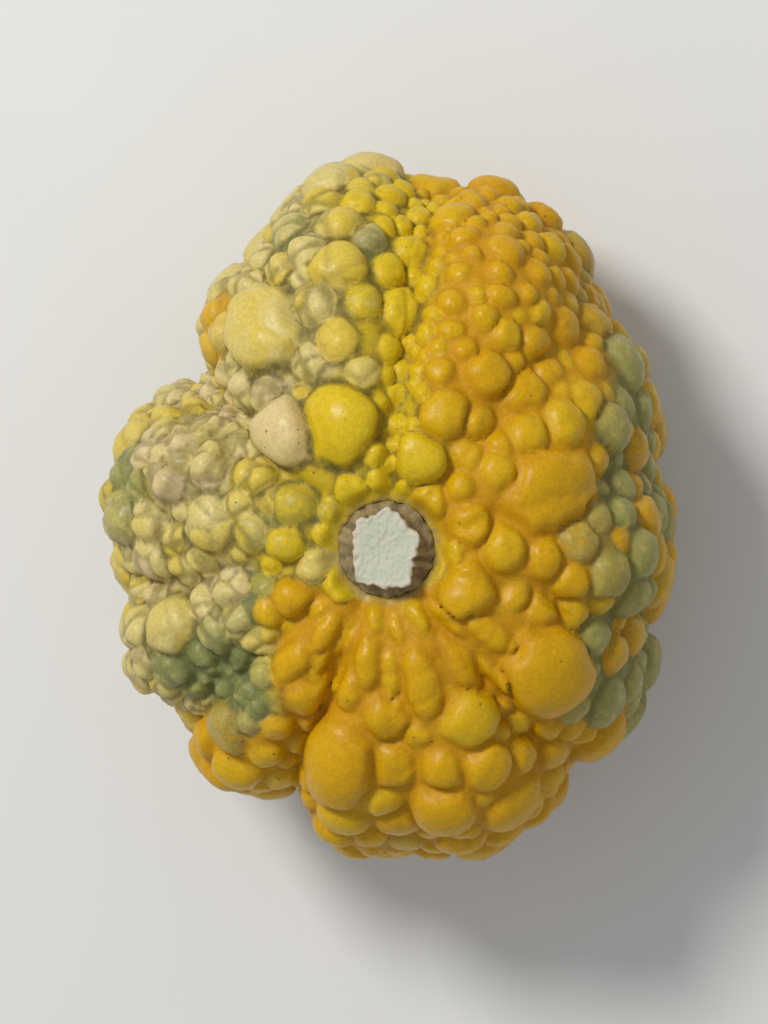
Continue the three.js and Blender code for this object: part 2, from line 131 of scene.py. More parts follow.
# Swellings: azimuth, reach, radius, height, and how much finer the warts on them are. A negative
# height makes a hollow.
SWELLINGS = (
    (156, 45, 14, 6.0, 0.4), (106, 57, 15, 1.6, 0), (205, 51, 16, 4.0, 0.08),
    (172, 52, 14, 2.6, 0), (68, 57, 17, 2.8, 0), (267, 47, 14, 1.8, 0),
    (288, 50, 15, 2.6, 0), (356, 43, 17, 3.0, 0), (124, 67.2, 23, -5.4, 0), (248, 62.4, 20, -3.6, 0),
    (219, 43, 14, 0.8, 0.45),
)

# Warts lean over with the slopes of the ribs that carry them, measured over a span to either side.
LEANING = {"span": 4, "share": 0.85}

FINGERS = {"from": 228, "to": 330, "inner": 11, "outer": 34, "stretch": 2.6, "loss": 0.25}
COLLAR = {"foot": 9.2, "bare": 0.5, "warty": 3.5}

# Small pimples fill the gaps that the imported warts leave, and the rest of a gap is raised to a floor.
PIMPLE_SIZES = ((9000, 1.8, 2.6),)
PIMPLE_SEED = 7331
PIMPLE_PACKING = 0.84
GAP_FLOOR = {"height": 2.0, "blend": 4}

# The stem's profile holds radii, and heights over the bottom of the crown's dip.
STEM_PROFILE = (
    (0, -4.5), (8.9, -4.5), (9.1, 0.3), (9.4, 1.1), (9.3, 1.6), (8.8, 2.1), (8.0, 2.7), (7.3, 3.5),
    (6.9, 4.5), (6.7, 5.6), (6.6, 6.2), (6.25, 6.5), (5.6, 6.42), (3.2, 6.3), (1.6, 6.05), (0, 5.95),
)
STEM_CORNERS = (18, 81, 137, 223, 311)
STEM_CORNER = {"depth": 0.2, "half_width": 17, "from": 2.2, "to": 6.3}
STEM_WIDTHS = (0.93, 1.09)
STEM_MESH = {"steps": 168, "detail": 0.3, "merge": 1e-4}
CUT_SLOPE = 0.07
SOCKET = {"radius": 9.3, "wall": 0.5, "depth": 4.8}

# Ridges run round the stem, and their depth comes and goes twice. Broad and fine ones each have a count,
# the swing of their spacing and the count of that swing.
STEM_RIDGES = {"broad": (13, 1.9, 3), "start": 0.4, "fine": (23, 2.3, 2), "fine_share": 0.6}
RIDGE_DEPTH = {"least": 0.35, "more": 0.65, "turns": 2, "start": 0.9}

# Bends in the stem's surface, squeezed together along it, and the finer bends of its fibres.
STEM_BENDS = {"size": 1.6, "squeeze": (1.0, 1.0, 0.45), "fibre_size": 0.7, "fibre_share": 0.5}
STEM_RELIEF = {"fluting": 0.55, "rough": 0.7, "frayed": 1.1, "fibre": 0.6}

# The heights and the radii over which the stem's parts fade in, and for the cut's radii, out.
STEM_SIDE = ((0.6, 1.4), (5.2, 6.2))
STEM_EDGE = ((5.0, 6.2), (4.8, 6.2))
STEM_CUT = ((5.6, 6.1), (6.3, 6.7))
WHOLE_CUT = {"within": 5.5, "above": 3}
GROOVES = {"middle": 0.5, "gain": 0.4, "least_depth": 1e-6}


def srgb(red, green, blue):
    """A colour in the 0 to 255 scale of a screen, as the linear values that Blender keeps."""
    shares = (value / 255 for value in (red, green, blue))
    return tuple(s / 12.92 if s <= 0.04045 else ((s + 0.055) / 1.055) ** 2.4 for s in shares)


def size_property(name, description, default, low, high, **more):
    """A length in metres that the sidebar shows in the scene's units."""
    return FloatProperty(
        name=name, description=description, default=default, min=low, max=high,
        subtype="DISTANCE", unit="LENGTH", precision=5, **more,
    )


def colour_property(name, description, default):
    return FloatVectorProperty(
        name=name, description=description, default=default, size=3, min=0.0, max=1.0, subtype="COLOR",
    )


class GourdSizes(bpy.types.PropertyGroup):
    """How finely and how unevenly the gourd is shaped."""

    grid_cuts: IntProperty(
        name="Grid cuts", description="Cuts along each edge of the rind's starting ball",
        default=5, min=1, max=5,
    )
    unevenness: size_property(
        "Unevenness", "How far the wart outlines wander from round", 0.0009, 0.0, 0.002,
    )
    unevenness_size: size_property(
        "Unevenness size", "The size of one bend in a wart's outline", 0.0065, 0.002, 0.02,
    )
    grain: size_property("Grain", "Height of the finest unevenness of the rind", 0.00014, 0.0, 0.0005)
    lump_height: size_property("Lump height", "Height of the small lumps on the warts", 0.0011, 0.0, 0.003)
    lump_size: size_property("Lump size", "Width of the small lumps on the warts", 0.0058, 0.002, 0.01)
    scar_radius: size_property("Scar radius", "Radius of the corky blossom scar", 0.0034, 0.001, 0.006)
    stem_fluting: size_property("Stem fluting", "Depth of the small ridges on the stem", 0.0005, 0.0, 0.001)
    stem_raggedness: size_property(
        "Stem raggedness", "How ragged the stem's cut edge is", 0.00045, 0.0, 0.0015,
    )


class GourdColours(bpy.types.PropertyGroup):
    """The gourd's colours."""

    cream: colour_property("Cream", "Warts on the pale side", srgb(205, 187, 115))
    blush: colour_property("Blush", "Pinkish warts among the pale ones", srgb(212, 188, 134))
    yellow: colour_property("Yellow", "Rind between the pale and the orange side", srgb(210, 178, 24))
    # Orange is the orange side's own colour. Ember is a deeper orange and also painted shade: it darkens
    # the feet of the orange warts and the creases between them.
    orange: colour_property("Orange", "Tops of the warts on the orange side", srgb(205, 156, 3))
    ember_and_shade: colour_property("Ember", "Deep orange between the warts of the orange side", srgb(193, 140, 6))
    olive: colour_property("Olive", "Green mottling", srgb(144, 144, 82))
    # Bottle green is the darkest green of the patches, and also painted shade in their creases.
    bottle_green_and_shade: colour_property("Bottle green", "The darkest green", srgb(104, 109, 60))
    # The crease colour is painted shade in the creases and between the small lumps of the pale and yellow
    # rind.
    crease: colour_property("Crease", "Creases of the pale side", srgb(96, 85, 35))
    freckle: colour_property("Freckle", "Small corky specks", srgb(96, 68, 34))
    cork: colour_property("Cork", "The blossom scar", srgb(150, 122, 80))
    bark: colour_property("Bark", "The stem's sides", srgb(150, 132, 90))
    # This colour darkens random streaks along the stem's sides, and is painted shade in their grooves.
    bark_streak_and_shadow: colour_property("Bark shadow", "Grooves in the stem's sides", srgb(110, 94, 62))
    cut: colour_property("Cut", "The stem's cut face", srgb(188, 191, 166))
    fringe: colour_property("Fringe", "The frayed edge of the cut", srgb(210, 192, 172))


class GourdStudio(bpy.types.PropertyGroup):
    """The stage round the gourd."""

    floor_width: size_property("Floor width", "Width of the plain floor", 3.0, 0.5, 10.0)
    floor_colour: colour_property("Floor colour", "The plain floor", srgb(226, 224, 218))
    sky: colour_property("Sky", "Colour of the even light from all round", srgb(236, 240, 248))
    sky_strength: FloatProperty(
        name="Sky strength", description="Strength of the even light", default=0.5, min=0.0, max=5.0,
    )
    key_power: FloatProperty(
        name="Key power", description="Power of the large soft light", default=10.4, min=0.0, max=200.0,
        subtype="POWER", unit="POWER",
    )
    key_width: size_property("Key width", "Width of the large soft light", 0.32, 0.1, 3.0)
    camera_distance: size_property(
        "Camera distance", "From the gourd's middle to the camera", 1.21, 0.3, 5.0,
    )
    camera_east: FloatProperty(
        name="Camera east", description="How far the camera leans to +X", default=math.radians(6.2),
        subtype="ANGLE", unit="ROTATION",
    )
    camera_north: FloatProperty(
        name="Camera north", description="How far the camera leans to +Y", default=math.radians(3.5),
        subtype="ANGLE", unit="ROTATION",
    )
    focal_length: FloatProperty(
        name="Focal length", description="The camera's focal length", default=212.0, min=20.0, max=400.0,
        subtype="DISTANCE_CAMERA", unit="CAMERA",
    )


# ---------------------------------------------------------------- formulas of the rind


def smoothstep(value, low, high):
    share = np.clip((value - low) / (high - low), 0.0, 1.0)
    return share * share * (3.0 - 2.0 * share)


def side_rise(share):
    """How high the side view stands at a share of its half width, as a share of its half height."""
    return (1.0 - np.clip(share, 0.0, 1.0) ** SQUARENESS) ** (1.0 / SQUARENESS)


def gain(place, gained, low, high):
    """A gain that comes in between a low and a high place."""
    return gained * smoothstep(place, low, high)


MIDDLE_HEIGHT = HALF_HEIGHT * side_rise(RESTING_SPOT["share"])
DIP_BOTTOM = MIDDLE_HEIGHT + HALF_HEIGHT - CROWN_DIP["depth"]


def half_width(x):
    return np.where(x > 0, EAST, WEST)


def half_length(y):
    return np.where(y > 0, NORTH, SOUTH)


def body_points(directions):
    """The points of the smooth body in the given unit directions."""
    x, y, z = directions.T
    level = np.hypot(x, y)
    size = (level ** SQUARENESS + np.abs(z) ** SQUARENESS) ** (-1.0 / SQUARENESS)
    return np.column_stack((
        x * size * half_width(x),
        y * size * half_length(y),
        z * size * HALF_HEIGHT + MIDDLE_HEIGHT,
    ))


def unit(vectors):
    return vectors / np.linalg.norm(vectors, axis=1, keepdims=True)


def outward(points):
    """The way the rind stands out: square to the body."""
    wide, long = half_width(points[:, 0]), half_length(points[:, 1])
    x, y = points[:, 0] / wide, points[:, 1] / long
    up = (points[:, 2] - MIDDLE_HEIGHT) / HALF_HEIGHT
    level = np.hypot(x, y) ** (SQUARENESS - 2.0)
    rise = np.sign(up) * np.abs(up) ** (SQUARENESS - 1.0) / HALF_HEIGHT
    return unit(np.column_stack((level * x / wide, level * y / long, rise)))


def share_of_width(points):
    return np.hypot(points[:, 0] / half_width(points[:, 0]), points[:, 1] / half_length(points[:, 1]))


def crown_points(azimuths, reaches):
    """Points of the body's upper side at azimuths in degrees and reaches from the stem's axis."""
    turn = np.radians(np.asarray(azimuths, float))
    level = np.column_stack((np.cos(turn), np.sin(turn))) * np.asarray(reaches, float)[:, None]
    rise = side_rise(share_of_width(level)) * HALF_HEIGHT
    return np.column_stack((level, rise + MIDDLE_HEIGHT))


def reach_of(points):
    return np.hypot(points[:, 0], points[:, 1])


def is_upper(points):
    return points[:, 2] > MIDDLE_HEIGHT


def under_share(points):
    return smoothstep(share_of_width(points), RESTING_SPOT["relief_from"], RESTING_SPOT["relief_whole"])


def bell(points, azimuth, width):
    """1 at an azimuth and falling off over a half width to either side, both in degrees."""
    turn = np.arctan2(points[:, 1], points[:, 0]) - math.radians(azimuth)
    away = np.arctan2(np.sin(turn), np.cos(turn)) / math.radians(width)
    return np.exp(-away * away)


def furrow_depth(points):
    depth = sum(depth * bell(points, azimuth, FURROW_HALF_WIDTH) for azimuth, depth in FURROWS)
    in_notch = NOTCH["depth"] * bell(points, NOTCH["azimuth"], NOTCH["half_width"])
    reach = reach_of(points)
    upper = depth * (1.0 - np.exp(-((reach / FURROW_START) ** 2)))
    upper += in_notch * smoothstep(reach, NOTCH["from"], NOTCH["to"])
    return np.where(is_upper(points), upper, (depth + in_notch) * under_share(points))


def rib_height(points):
    return swell_height(points) - furrow_depth(points)


def rib_points(points):
    """The ribbed surface that carries the warts, for points of the smooth body."""
    return points + outward(points) * rib_height(points)[:, None]


def wart_ways(points):
    """The way warts stand out: the body's way, leant over by the slope of the ribs."""
    span = LEANING["span"]
    way = outward(points)
    slope = np.column_stack([
        (rib_height(points + step) - rib_height(points - step)) / (2 * span) for step in span * np.eye(3)
    ])
    slope -= way * (slope * way).sum(1)[:, None]
    return unit(way - slope * LEANING["share"])


def shares_up(points):
    """For each swelling, how far up on it the points lie: 1 at its middle, and 0 at its foot."""
    spots = crown_points([s[0] for s in SWELLINGS], [s[1] for s in SWELLINGS])
    for spot, (_, _, radius, height, loss) in zip(spots, SWELLINGS):
        away = np.minimum(1.0, np.linalg.norm(points - spot, axis=1) / radius)
        yield (1.0 - away * away) ** 1.5, height, loss


def swell_height(points):
    return sum(share * height for share, height, _ in shares_up(points))


def coarseness(points):
    """How large the warts at the points are, as a share of their full size."""
    sizing = WART_SIZING
    loss = sizing["stem_loss"] * np.exp(-((reach_of(points) / sizing["stem_reach"]) ** 2))
    loss += sizing["furrow_loss"] * furrow_depth(points)
    loss += GRANULAR["loss"] * bell(points, GRANULAR["azimuth"], GRANULAR["half_width"])
    loss += sum(share * finer for share, _, finer in shares_up(points))
    loss += np.where(stretch_at(points) > 1.0, FINGERS["loss"], 0.0)
    upper = 1.0 - np.minimum(sizing["most_loss"], loss)
    lower = 1.0 + sizing["under_gain"] * (1.0 - points[:, 2] / MIDDLE_HEIGHT)
    return np.where(is_upper(points), upper, lower)


def wart_share(points):
    """The rind is bare beside the stem, and worn smooth where the fruit rests."""
    upper = smoothstep(reach_of(points) - COLLAR["foot"], COLLAR["bare"], COLLAR["warty"])
    return np.where(is_upper(points), upper, under_share(points))


# ---------------------------------------------------------------- warts


def random_numbers(seed, count):
    """Lehmer's random numbers, from 0 to 1."""
    state = seed
    numbers = np.empty(count)
    for index in range(count):
        state = state * 16807 % 2147483647
        numbers[index] = state / 2147483647
    return numbers


def stretch_at(points):
    azimuth = np.degrees(np.arctan2(points[:, 1], points[:, 0])) % 360
    reach = reach_of(points)
    on_side = (azimuth > FINGERS["from"]) & (azimuth < FINGERS["to"]) & is_upper(points)
    in_reach = (reach > FINGERS["inner"]) & (reach < FINGERS["outer"])
    return np.where(on_side & in_reach, FINGERS["stretch"], 1.0)


class Warts:
    """Domes on the body: their spots, the way they stretch, and their radii."""

    def __init__(self, room):
        self.count = 0
        self.spot = np.zeros((room, 3))
        self.along = np.zeros((room, 3))
        self.radius = np.zeros(room)
        self.stretch = np.ones(room)

    def add(self, spot, along, radius, stretch):
        index = self.count
        self.spot[index], self.along[index] = spot, along
        self.radius[index], self.stretch[index] = radius, stretch
        self.count += 1

    def gaps_to(self, spot):
        """How far a spot lies from each wart's middle, with the warts' stretch taken out."""
        gap = spot - self.spot[:self.count]
        along = (gap * self.along[:self.count]).sum(1)
        rest = (gap * gap).sum(1) - along * along
        return np.sqrt((along / self.stretch[:self.count]) ** 2 + rest)

    def fill(self, sizes, seed, packing, fineness=coarseness):
        """Throws warts at the body, largest first, and keeps each one that has room."""
        tries, least, most = zip(*sizes)
        draws = random_numbers(seed, 3 * sum(tries)).reshape(-1, 3)
        up, turn = 2.0 * draws[:, 0] - 1.0, 2.0 * math.pi * draws[:, 1]
        level = np.sqrt(1.0 - up * up)
        on_body = body_points(np.column_stack((level * np.cos(turn), level * np.sin(turn), up)))
        least, most = np.repeat(least, tries), np.repeat(most, tries)
        radii = (least + (most - least) * draws[:, 2]) * fineness(on_body)
        ways, stretches = ways_along(on_body), stretch_at(on_body)
        for spot, way, radius, stretch in zip(rib_points(on_body), ways, radii, stretches):
            room = self.gaps_to(spot) > packing * (self.radius[:self.count] + radius)
            if room.all():
                self.add(spot, way, radius, stretch)

    def press(self):
        """Lets each wart swell until it presses on its nearest neighbour."""
        spots, radii = self.spot[:self.count], self.radius[:self.count].copy()
        for index, radius in enumerate(radii):
            gap = spots - spots[index]
            along = gap @ self.along[index]
            rest = (gap * gap).sum(1) - along * along
            room = np.sqrt((along / self.stretch[index]) ** 2 + rest) / (radius + radii)
            room[index] = np.inf
            growth = max(1.0, PRESSING["overlap"] * room.min())
            self.radius[index] = radius * min(PRESSING["most"], growth)


def ways_along(points):
    """The level line from the stem outwards, laid along the rind."""
    across = unit(np.column_stack((-points[:, 1], points[:, 0], np.zeros(len(points)))))
    return unit(np.cross(across, outward(points)))


def place_warts():
    warts = Warts(ROOM_FOR_WARTS)
    azimuths, reaches, radii, stretches, _ = zip(*LANDMARKS)
    on_body = crown_points(azimuths, reaches)
    for wart in zip(rib_points(on_body), ways_along(on_body), radii, stretches):
        warts.add(*wart)
    warts.fill(WART_SIZES, WART_SEED, PACKING)
    warts.press()
    warts.fill(PIMPLE_SIZES, PIMPLE_SEED, PIMPLE_PACKING, lambda points: np.ones(len(points)))
    return warts


# The lines of painted shade where warts meet, at their feet and in the gaps between them, in shares of a
# radius.
CREASE_SHADE_LINES = {"width": 0.16, "meeting": (0.95, 1.15), "foot": 0.9, "gap": (0.45, 0.9, 1.1)}


def wart_relief(points, warts):
    """The warts' height at the points, which wart each point belongs to, and where shade is painted in the
    creases.
    """
    total = np.full(len(points), DOMING["floor"] ** FUSING)
    nearest, following = np.full((2, len(points)), NO_WART)
    height = np.zeros(len(points))
    owner = np.full(len(points), -1)
    for index in range(warts.count):
        radius, stretch = warts.radius[index], warts.stretch[index]
        gap = points - warts.spot[index]
        square = np.einsum("ij,ij->i", gap, gap)
        close = np.nonzero(square < (WART_SEARCH * radius * stretch) ** 2)[0]
        along = gap[close] @ warts.along[index]
        away = np.sqrt((along / stretch) ** 2 + square[close] - along * along) / radius
        dome = np.sqrt(1.0 - np.minimum(1.0, away) ** DOMING["roundness"])
        full = DOMING["factor"] * radius ** DOMING["power"]
        total[close] += (full * dome) ** FUSING
        following[close] = np.minimum(following[close], np.maximum(away, nearest[close]))
        nearer = close[away < nearest[close]]
        nearest[close] = np.minimum(nearest[close], away)
        height[nearer], owner[nearer] = full, index
    apart = following - nearest
    pressed = 1.0 - smoothstep(nearest, CREASING["fade_from"], CREASING["fade_to"])
    crease = CREASING["depth"] * height * np.exp(-((apart / CREASING["width"]) ** 2)) * pressed
    lines = CREASE_SHADE_LINES
    foot = np.exp(-(((nearest - 1.0) / lines["width"]) ** 2))
    meeting = np.exp(-((apart / lines["width"]) ** 2))
    meeting *= 1.0 - smoothstep(nearest, *lines["meeting"])
    line = np.maximum(np.maximum(meeting, lines["foot"] * foot), gain(nearest, *lines["gap"]))
    crest = np.sqrt(1.0 - np.minimum(1.0, nearest) ** DOMING["roundness"])
    return total ** (1.0 / FUSING) - crease, owner, crest, line


# The small lumps, which are strongest on cream warts and fade away on the largest ones. At the level
# they neither rise nor sink.
LUMPS = {"rise": (-0.15, 0.5), "scatter": 7.0, "level": 0.7}
LUMPINESS = {"least": 0.4, "on_cream": 0.6, "large_loss": (0.75, 5.2, 7.0)}


def lumps(points, size):
    """Small lumps of a size: how high up on one each point lies, and a random number for each lump."""
    height, chance = np.empty((2, len(points)))
    for index, point in enumerate(points / size):
        distances, seeds = noise.voronoi(Vector(point))
        height[index] = distances[1] - distances[0]
        chance[index] = noise.cell(seeds[0] * LUMPS["scatter"])
    return smoothstep(height, *LUMPS["rise"]), chance


# ---------------------------------------------------------------- where the colours lie

# Green patches: azimuth, reach, radius and strength. A patch fades out between two shares of its radius.
PATCH_FADE = (0.55, 1.15)
GREEN_PATCHES = (
    (217, 44, 14.0, 1.0), (203, 27.5, 5.6, 0.95), (95, 59, 4.2, 0.9), (106, 64, 7.0, 0.45),
    (93, 48, 3.6, 0.7), (167, 52, 9.0, 0.8), (160, 19, 7.5, 0.5), (174, 24, 6.5, 0.6),
    (163, 37, 2.2, 1.0), (270, 61, 7.0, 0.4), (30, 52, 9.0, 0.5), (146, 55, 5.0, 0.6),
)

# The green flank: its strength, and how far east it starts and is whole. Some warts in it stay yellow.
FLANK = (0.9, 33.0, 43.0)
FICKLE = {"seed": 613, "rarity": 0.74, "east_of": 20.0, "green": 0.25}

# Brownish orange patches on the pale side, in and beside the notch.
WARM_PATCHES = ((133, 57, 11.0, 0.85), (116, 66, 4.5, 0.6), (183, 58, 5.0, 0.6))

# The borders of the cream and the orange part: how far east each lies, how much further east it gets in
# the north and west in the south, and its blur. The cream part ends in the south.
CREAM = {"edge": -25.0, "north": (16.0, 8.0, 36.0), "blur": (-4.0, 4.0), "end": (31.0, 37.0)}
ORANGE = {"edge": -24.5, "north": (30.0, -13.0, -4.0), "south": (25.0, 31.0, 38.0), "blur": (-2.0, 8.0)}

# How the borders of the colours wander: the size of a bend, its reach and a seed. The drift fades out
# between two heights over the widest line.
BORDER_BENDS = ((16.0, 5.0, 1), (6.0, 2.0, 2))
BORDER_DRIFT = (26.0, 20.0, 7)
DRIFT_HEIGHTS = (-8.0, 26.0)
FLANK_DRIFT = (24.0, 15.0, 6)

# How a wart's own tone is drawn, and how far each point takes on the colours of its wart.
TONES = {"seed": 911, "least": 0.12, "spread": 0.72, "on_knot": 0.35, "in_gaps": 0.5}
WART_PULL = {"share": 0.85, "crest": (0.1, 0.5)}

# A few of the yellow warts in the west are cream.
STRAYS = {
    "seed": 733, "rarity": 0.55, "cream_under": 0.5, "orange_under": 0.4, "west_of": -3.0, "cream": 0.8,
}


def wander(points, size, reach, seed):
    """A smooth, uneven shift for each point, in millimetres."""
    noise.seed_set(seed)
    return np.array([noise.noise_vector(Vector(point) / size) for point in points]) * reach


def patch_share(points, patches):
    """How strongly patches of an azimuth, a reach, a radius and a strength colour the points."""
    share = np.zeros(len(points))
    spots = crown_points([patch[0] for patch in patches], [patch[1] for patch in patches])
    for spot, (_, _, radius, strength) in zip(spots, patches):
        away = np.linalg.norm(points - spot, axis=1) / radius
        share = np.maximum(share, strength * (1.0 - smoothstep(away, *PATCH_FADE)))
    return share


def colour_zones(points):
    """How cream, how orange and how green the rind is at the points."""
    low, high = (MIDDLE_HEIGHT + over for over in DRIFT_HEIGHTS)
    below = 1.0 - smoothstep(points[:, 2], low, high)
    moved = points + wander(points, *BORDER_DRIFT) * below[:, None]
    for bend in BORDER_BENDS:
        moved = moved + wander(points, *bend)
    x, y = moved[:, 0], moved[:, 1]
    cream_edge = CREAM["edge"] + gain(y, *CREAM["north"])
    orange_edge = ORANGE["edge"] + gain(y, *ORANGE["north"]) - gain(-y, *ORANGE["south"])
    cream = smoothstep(cream_edge - x, *CREAM["blur"]) * (1.0 - smoothstep(-y, *CREAM["end"]))
    orange = smoothstep(x - orange_edge, *ORANGE["blur"])
    warm = patch_share(moved, WARM_PATCHES)
    flank = x + wander(moved, *FLANK_DRIFT)[:, 0]
    green = np.maximum(gain(flank, *FLANK), patch_share(moved, GREEN_PATCHES))
    return np.column_stack((cream * (1.0 - warm), np.maximum(orange, warm), green))


def wart_tones(spots):
    """How far the colour of the wart at each spot leans from yellow to pink."""
    tones = TONES["least"] + TONES["spread"] * random_numbers(TONES["seed"], len(spots))
    tones += TONES["on_knot"] * next(shares_up(spots))[0]
    tones[:len(LANDMARKS)] = [landmark[4] for landmark in LANDMARKS]
    return tones


def set_odd_warts(zones, east):
    """Gives a few warts a colour of their own, in their zones and by how far east they are."""
    fickle = random_numbers(FICKLE["seed"], len(east)) > FICKLE["rarity"]
    zones[:, 2] *= np.where(fickle & (east > FICKLE["east_of"]), FICKLE["green"], 1.0)
    strays = random_numbers(STRAYS["seed"], len(east)) > STRAYS["rarity"]
    strays &= (zones[:, 0] < STRAYS["cream_under"]) & (zones[:, 1] < STRAYS["orange_under"])
    strays &= east < STRAYS["west_of"]
    strays[:len(LANDMARKS)] = False
    zones[strays, 0] = STRAYS["cream"]


def bead_zones(points, warts, owner, crest):
    """The zones at each point, drawn to those of the wart that it belongs to, and the wart's tone."""
    spots = warts.spot[:warts.count]
    local, by_wart = colour_zones(points), colour_zones(spots)
    tones = wart_tones(spots)
    set_odd_warts(by_wart, spots[:, 0])
    on_wart = owner >= 0
    pull = np.where(on_wart, WART_PULL["share"], 0.0)
    pull = (pull * smoothstep(crest, *WART_PULL["crest"]))[:, None]
    zones = local * (1.0 - pull) + by_wart[owner] * pull
    return zones, np.where(on_wart, tones[owner], TONES["in_gaps"])


# ---------------------------------------------------------------- meshes

# Where the rind is evened out: below a share of a wart's height, above the resting face, and beyond
# the stem's socket.
SOFTENING = {"below": 0.5, "above": 0.5, "beyond": 12.5, "factor": 0.5}

# Seeds of the unevenness of the rind and the stem.
SEEDS = {"bend": 3, "fine_bend": 4, "grain": 5, "rough": 11, "fibre": 12}

# How much smaller and lower the finer of the two bends in a wart's outline is.
FINE_BEND = {"size": 2.5, "reach": 6.0}
GRAIN = {"size": 1.1, "least": 0.3, "on_warts": 0.7}

# The corky button in the blossom's dimple: its soft edge, and its height with a ripple in it.
SCAR = {"from": 0.85, "to": 1.2, "height": 0.55, "ripple": 0.35, "ripples": 2.6}

# The paler ground spot ends between two shares of the width, and the collar between two reaches.
GROUND_FADE = (0.25, 0.62)
COLLAR_FADE = (9.6, 11.6)


def vertices_of(mesh):
    return np.array([vertex.co for vertex in mesh.verts])


def move_vertices(mesh, points):
    for vertex, point in zip(mesh.verts, points):
        vertex.co = point


def finish_piece(name, mesh, attributes, material, node):
    """Makes the object at the origin, in metres, and gives it its place in the frame."""
    bmesh.ops.translate(mesh, vec=STEM_AXIS, verts=mesh.verts[:])
    bmesh.ops.scale(mesh, vec=(MM, MM, MM), verts=mesh.verts[:])
    for face in mesh.faces:
        face.smooth = True
    data = bpy.data.meshes.new(name)
    mesh.to_mesh(data)
    mesh.free()
    for label, values in attributes.items():
        layer = data.attributes.new(label, "FLOAT", "POINT")
        layer.data.foreach_set("value", np.ascontiguousarray(values, dtype=np.float32))
    piece = bpy.data.objects.new(name, data)
    bpy.context.scene.collection.objects.link(piece)
    data.materials.append(material)
    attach(piece, "root")
    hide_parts(node)


def rind_points(directions, sizes, warts):
    """Maps unit directions to the rind, and says what the material needs to know there."""
    points = body_points(directions)
    ribs = rib_points(points)
    bend_size, bend_reach = sizes.unevenness_size / MM, sizes.unevenness / MM
    bend = wander(points, bend_size, bend_reach, SEEDS["bend"])
    fine_size, fine_reach = bend_size / FINE_BEND["size"], bend_reach / FINE_BEND["reach"]
    felt = ribs + bend + wander(points, fine_size, fine_reach, SEEDS["fine_bend"])
    relief, owner, crest, crease = wart_relief(felt, warts)
    zones, bead = bead_zones(points, warts, owner, crest)
    lump, chance = lumps(felt, sizes.lump_size / MM)
    lumpy = LUMPINESS["least"] + LUMPINESS["on_cream"] * zones[:, 0]
    lumpy = lumpy * (1.0 - gain(warts.radius[owner], *LUMPINESS["large_loss"]))
    floor, blend = GAP_FLOOR["height"] * np.minimum(1.0, coarseness(points)) ** 2, GAP_FLOOR["blend"]
    relief = (np.maximum(relief, 0.0) ** blend + floor ** blend) ** (1.0 / blend)
    relief += sizes.lump_height / MM * lumpy * (lump - LUMPS["level"])
    share = wart_share(points)
    grain = wander(points, GRAIN["size"], sizes.grain / MM, SEEDS["grain"])[:, 0]
    grain = grain * (GRAIN["least"] + GRAIN["on_warts"] * share)
    rind = ribs + wart_ways(points) * (relief * share + grain)[:, None]

    reach = reach_of(points)
    upper = is_upper(points)
    dip = CROWN_DIP["depth"] * np.exp(-((reach / CROWN_DIP["radius"]) ** 2))
    socket = 1.0 - smoothstep(reach, SOCKET["radius"] - SOCKET["wall"], SOCKET["radius"])
    socket = SOCKET["depth"] * socket
    dimple = BLOSSOM_DIMPLE["depth"] * np.maximum(0.0, 1.0 - (reach / BLOSSOM_DIMPLE["radius"]) ** 2)
    scar_radius = sizes.scar_radius / MM
    scar = 1.0 - smoothstep(reach, scar_radius * SCAR["from"], scar_radius * SCAR["to"])
    scar = np.where(upper, 0.0, scar)
    ripple = SCAR["ripple"] * np.cos(reach * SCAR["ripples"])
    button = scar * (SCAR["height"] + ripple) * np.minimum(1.0, dimple)
    under = np.maximum(0.0, rind[:, 2]) + dimple - button
    rind[:, 2] = np.where(upper, rind[:, 2] - dip - socket, np.maximum(0.0, under))

    # The crease attribute marks where shade is painted, in the creases and the gaps between warts.
    attributes = {
        "cream": zones[:, 0], "orange": zones[:, 1], "green": zones[:, 2], "bead": bead,
        "crest": crest * share, "crease": crease * share, "scar": scar,
        "ground": np.where(upper, 0.0, 1.0 - smoothstep(share_of_width(points), *GROUND_FADE)),
        "lump": 1.0 - lumpy * share * (1.0 - lump), "chance": chance,
        "collar": np.where(upper, 1.0 - smoothstep(reach, *COLLAR_FADE), 0.0),
    }
    return rind, attributes


def evened(mesh, values):
    """Draws the value of each vertex halfway to the mean of its neighbours' values."""
    mesh.verts.index_update()
    ends = np.array([[vertex.index for vertex in edge.verts] for edge in mesh.edges]).T
    neighbours = np.bincount(ends.ravel(), minlength=len(values))
    around = sum(np.bincount(one, values[other], len(values)) for one, other in (ends, ends[::-1]))
    return 0.5 * values + 0.5 * around / neighbours


def soften_creases(mesh, crests):
    """Evens out the steep feet of the warts, away from the stem's socket and the resting face."""
    steep = [
        vertex for vertex, crest in zip(mesh.verts, crests)
        if crest < SOFTENING["below"] and vertex.co.z > SOFTENING["above"]
        and math.hypot(vertex.co.x, vertex.co.y) > SOFTENING["beyond"]
    ]
    axes = {"use_axis_x": True, "use_axis_y": True, "use_axis_z": True}
    bmesh.ops.smooth_vert(mesh, verts=steep, factor=SOFTENING["factor"], **axes)


